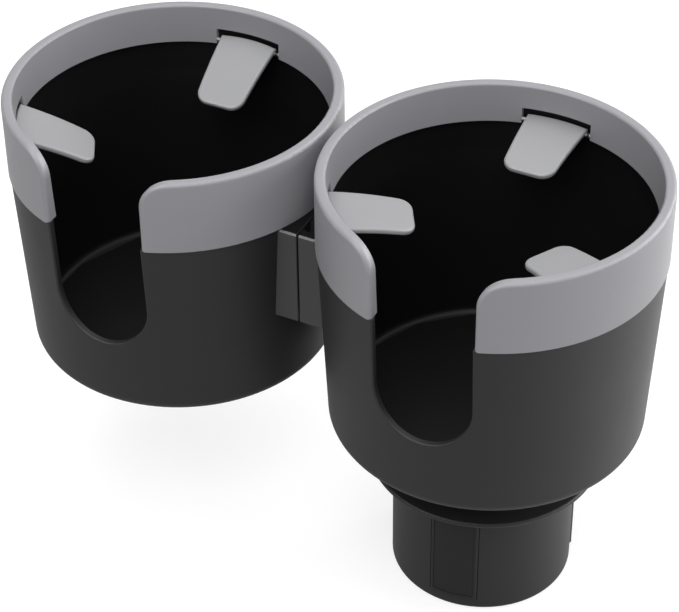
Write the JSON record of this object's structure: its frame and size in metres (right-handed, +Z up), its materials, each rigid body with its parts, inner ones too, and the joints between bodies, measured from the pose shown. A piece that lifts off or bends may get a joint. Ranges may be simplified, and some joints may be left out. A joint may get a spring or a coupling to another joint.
{
  "type": "cup holder expander",
  "caption": "Dual cup holder expander: a slotted cup on an expanding twist base for a vehicle cup well, with a second slotted cup on a lift-off bracket beside it",
  "frame": {"origin": "centre of the base's foot, on the main cup's axis", "axes": "+Z up along the main cup's axis, the side cup towards -X, both handle slots towards -Y"},
  "size_m": [0.2184, 0.1057, 0.152],
  "materials": {
    "cup_plastic": "fine-grained black ABS, satin",
    "bracket_plastic": "black ABS, satin",
    "base_plastic": "black ABS, satin",
    "rim_plastic": "grey ABS, fine grain",
    "tab_plastic": "light grey plastic, smooth",
    "shoe_plastic": "black nylon",
    "grip_rubber": "soft black rubber",
    "inner_plastic": "natural acetal",
    "spring_steel": "spring steel wire and strip",
    "screw_steel": "zinc-plated steel"
  },
  "bodies": {
    "base": {"base_housing": "base_plastic", "base_floor": "base_plastic", "base_floor_screws": "screw_steel"},
    "main_assembly": {"main_cup": "cup_plastic", "main_rim_ring": "rim_plastic", "main_tab_spring_back": "spring_steel", "main_tab_spring_left": "spring_steel", "main_tab_spring_right": "spring_steel", "main_bracket": "bracket_plastic", "main_bracket_screws": "screw_steel", "swivel_neck": "base_plastic", "neck_screws": "screw_steel", "retaining_clip": "spring_steel", "cam_disc": "inner_plastic", "cam_washer": "screw_steel", "cam_screw": "screw_steel"},
    "side_assembly": {"side_cup": "cup_plastic", "side_rim_ring": "rim_plastic", "side_tab_spring_back": "spring_steel", "side_tab_spring_left": "spring_steel", "side_tab_spring_right": "spring_steel", "side_bracket": "bracket_plastic", "side_bracket_screws": "screw_steel"},
    "main_back_tab": {"main_tab_back": "tab_plastic"},
    "main_left_tab": {"main_tab_left": "tab_plastic"},
    "main_right_tab": {"main_tab_right": "tab_plastic"},
    "side_back_tab": {"side_tab_back": "tab_plastic"},
    "side_left_tab": {"side_tab_left": "tab_plastic"},
    "side_right_tab": {"side_tab_right": "tab_plastic"},
    "shoe_1_body": {"shoe_1": "shoe_plastic", "grip_pad_1": "grip_rubber"},
    "shoe_2_body": {"shoe_2": "shoe_plastic", "grip_pad_2": "grip_rubber"},
    "shoe_3_body": {"shoe_3": "shoe_plastic", "grip_pad_3": "grip_rubber"}
  },
  "joints": [
    {"name": "twist", "type": "hinge", "parent": "base", "child": "main_assembly", "pos_m": [0, 0, 0.045], "axis": [0, 0, 1], "range_deg": [0, 120]},
    {"name": "side_lift", "type": "slide", "parent": "main_assembly", "child": "side_assembly", "axis": [0, 0, 1], "range_m": [0, 0.032]},
    {"name": "main_tab_back_fold", "type": "hinge", "parent": "main_assembly", "child": "main_back_tab", "pos_m": [0, 0.04895, 0.1399], "axis": [1, 0, 0], "range_deg": [0, 72.5], "stiffness_Nm_per_rad": 0.01, "springref_deg": -28.65},
    {"name": "main_tab_left_fold", "type": "hinge", "parent": "main_assembly", "child": "main_left_tab", "pos_m": [-0.04239, -0.02448, 0.1399], "axis": [-0.5, 0.866, 0], "range_deg": [0, 72.5], "stiffness_Nm_per_rad": 0.01, "springref_deg": -28.65},
    {"name": "main_tab_right_fold", "type": "hinge", "parent": "main_assembly", "child": "main_right_tab", "pos_m": [0.04239, -0.02448, 0.1399], "axis": [-0.5, -0.866, 0], "range_deg": [0, 72.5], "stiffness_Nm_per_rad": 0.01, "springref_deg": -28.65},
    {"name": "side_tab_back_fold", "type": "hinge", "parent": "side_assembly", "child": "side_back_tab", "pos_m": [-0.1104, 0.04895, 0.1399], "axis": [1, 0, 0], "range_deg": [0, 53.5], "stiffness_Nm_per_rad": 0.01, "springref_deg": -28.65},
    {"name": "side_tab_left_fold", "type": "hinge", "parent": "side_assembly", "child": "side_left_tab", "pos_m": [-0.15279, -0.02448, 0.1399], "axis": [-0.5, 0.866, 0], "range_deg": [0, 53.5], "stiffness_Nm_per_rad": 0.01, "springref_deg": -28.65},
    {"name": "side_tab_right_fold", "type": "hinge", "parent": "side_assembly", "child": "side_right_tab", "pos_m": [-0.06801, -0.02448, 0.1399], "axis": [-0.5, -0.866, 0], "range_deg": [0, 53.5], "stiffness_Nm_per_rad": 0.01, "springref_deg": -28.65},
    {"name": "shoe_1_slide", "type": "slide", "parent": "base", "child": "shoe_1_body", "axis": [0.0958, -0.9954, 0], "range_m": [0, 0.008]},
    {"name": "shoe_2_slide", "type": "slide", "parent": "base", "child": "shoe_2_body", "axis": [0.8141, 0.5807, 0], "range_m": [0, 0.008]},
    {"name": "shoe_3_slide", "type": "slide", "parent": "base", "child": "shoe_3_body", "axis": [-0.91, 0.4147, 0], "range_m": [0, 0.008]}
  ],
  "couplings": [
    {"joint": "shoe_1_slide", "follows": "twist", "m_per_rad": 0.0038197},
    {"joint": "shoe_2_slide", "follows": "twist", "m_per_rad": 0.0038197},
    {"joint": "shoe_3_slide", "follows": "twist", "m_per_rad": 0.0038197}
  ]
}
